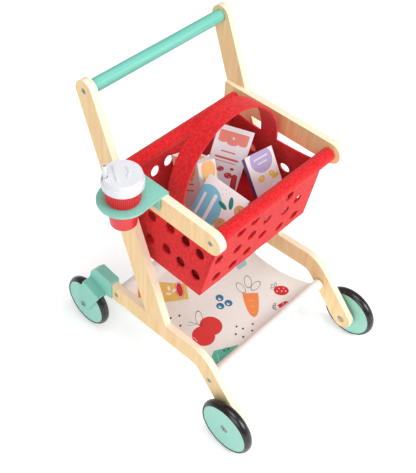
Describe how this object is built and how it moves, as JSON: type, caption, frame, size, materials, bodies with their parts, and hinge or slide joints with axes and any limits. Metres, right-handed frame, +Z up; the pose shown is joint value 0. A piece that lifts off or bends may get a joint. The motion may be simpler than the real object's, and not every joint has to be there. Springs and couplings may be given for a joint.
{
  "type": "toy push cart",
  "caption": "Wooden toy shopping cart with a red felt basket on dowels, a printed canvas shelf, rolling wheels, a clip-on cup with holder and play food cartons.",
  "frame": {"origin": "on the floor, midway between the two side frames, 172 mm behind the front axle line", "axes": "+X to the cart right side, -Y to the front where the basket opens over the front wheels, +Z up"},
  "size_m": [0.3695, 0.4138, 0.5125],
  "materials": {
    "wood": "clear satin lacquer on birch plywood",
    "dowel_wood": "clear satin lacquer on beech dowel",
    "handle_paint": "satin water-based paint on a beech dowel",
    "screw_steel": "zinc plated",
    "felt": "pressed polyester felt",
    "canvas": "printed cotton canvas",
    "wheel_plastic": "fine moulded texture",
    "tyre": "smooth soft rubber",
    "spacer_plastic": "turned nylon",
    "bracket_plastic": "fine moulded texture",
    "cup_plastic": "satin moulded plastic",
    "lid_plastic": "satin moulded plastic",
    "straw_plastic": "translucent white",
    "biscuit_card": "coated printed card",
    "crisps_card": "coated printed card",
    "juice_card": "coated printed card",
    "shake_card": "coated printed card"
  },
  "bodies": {
    "cart_frame": {"upright_left": "wood", "upright_right": "wood", "base_rail_left": "wood", "base_rail_right": "wood", "basket_arm_left": "wood", "basket_arm_right": "wood", "basket_front_dowel": "dowel_wood", "basket_back_dowel": "dowel_wood", "shelf_front_dowel": "dowel_wood", "shelf_rear_dowel": "dowel_wood", "foot_dowels": "dowel_wood", "handle_bar": "handle_paint", "handle_screws": "screw_steel", "arm_front_screws": "screw_steel", "arm_rear_screws": "screw_steel", "shelf_front_screws": "screw_steel", "shelf_rear_screws": "screw_steel", "front_axle_bolts": "screw_steel", "front_axle_nuts": "screw_steel", "rear_axle_bolts": "screw_steel", "rear_axle_nuts": "screw_steel", "bracket_screws": "screw_steel", "felt_front_panel": "felt", "felt_back_panel": "felt", "felt_side_left": "felt", "felt_side_right": "felt", "felt_floor": "felt", "carry_strap": "felt", "canvas_shelf": "canvas", "front_spacers": "spacer_plastic", "bracket_left": "bracket_plastic", "bracket_right": "bracket_plastic"},
    "front_left_wheel": {"front_disc_left": "wheel_plastic", "front_tyre_left": "tyre"},
    "front_right_wheel": {"front_disc_right": "wheel_plastic", "front_tyre_right": "tyre"},
    "rear_left_wheel": {"rear_disc_left": "wheel_plastic", "rear_tyre_left": "tyre"},
    "rear_right_wheel": {"rear_disc_right": "wheel_plastic", "rear_tyre_right": "tyre"},
    "holder": {"cup_holder": "bracket_plastic"},
    "drink_cup": {"cup": "cup_plastic", "cup_band": "cup_plastic"},
    "lid": {"cup_lid": "lid_plastic", "straw": "straw_plastic"},
    "biscuits": {"biscuit_carton": "biscuit_card"},
    "crisps": {"crisps_carton": "crisps_card"},
    "juice": {"juice_carton": "juice_card"},
    "shake": {"shake_carton": "shake_card"}
  },
  "joints": [
    {"name": "front_left_wheel_spin", "type": "hinge", "parent": "cart_frame", "child": "front_left_wheel", "pos_m": [0, -0.172, 0.0465], "axis": [1, 0, 0], "continuous": true},
    {"name": "rear_left_wheel_spin", "type": "hinge", "parent": "cart_frame", "child": "rear_left_wheel", "pos_m": [0, 0.1488, 0.0465], "axis": [1, 0, 0], "continuous": true},
    {"name": "front_right_wheel_spin", "type": "hinge", "parent": "cart_frame", "child": "front_right_wheel", "pos_m": [0, -0.172, 0.0465], "axis": [1, 0, 0], "continuous": true},
    {"name": "rear_right_wheel_spin", "type": "hinge", "parent": "cart_frame", "child": "rear_right_wheel", "pos_m": [0, 0.1488, 0.0465], "axis": [1, 0, 0], "continuous": true},
    {"name": "holder_lift", "type": "slide", "parent": "cart_frame", "child": "holder", "axis": [0, 0, 1], "range_m": [0, 0.04]},
    {"name": "cup_lift", "type": "slide", "parent": "holder", "child": "drink_cup", "axis": [0, 0, 1], "range_m": [0, 0.06]},
    {"name": "lid_lift", "type": "slide", "parent": "drink_cup", "child": "lid", "axis": [0, 0, 1], "range_m": [0, 0.02]},
    {"name": "biscuits_lift", "type": "slide", "parent": "cart_frame", "child": "biscuits", "axis": [0.3712, 0, 0.9285], "range_m": [0, 0.06]},
    {"name": "crisps_lift", "type": "slide", "parent": "cart_frame", "child": "crisps", "axis": [-0.487, 0.324, 0.8111], "range_m": [0, 0.04]},
    {"name": "juice_lift", "type": "slide", "parent": "cart_frame", "child": "juice", "axis": [0.1921, 0.1921, 0.9624], "range_m": [0, 0.03]},
    {"name": "shake_lift", "type": "slide", "parent": "cart_frame", "child": "shake", "axis": [0.1921, 0.1921, 0.9624], "range_m": [0, 0.025]}
  ]
}
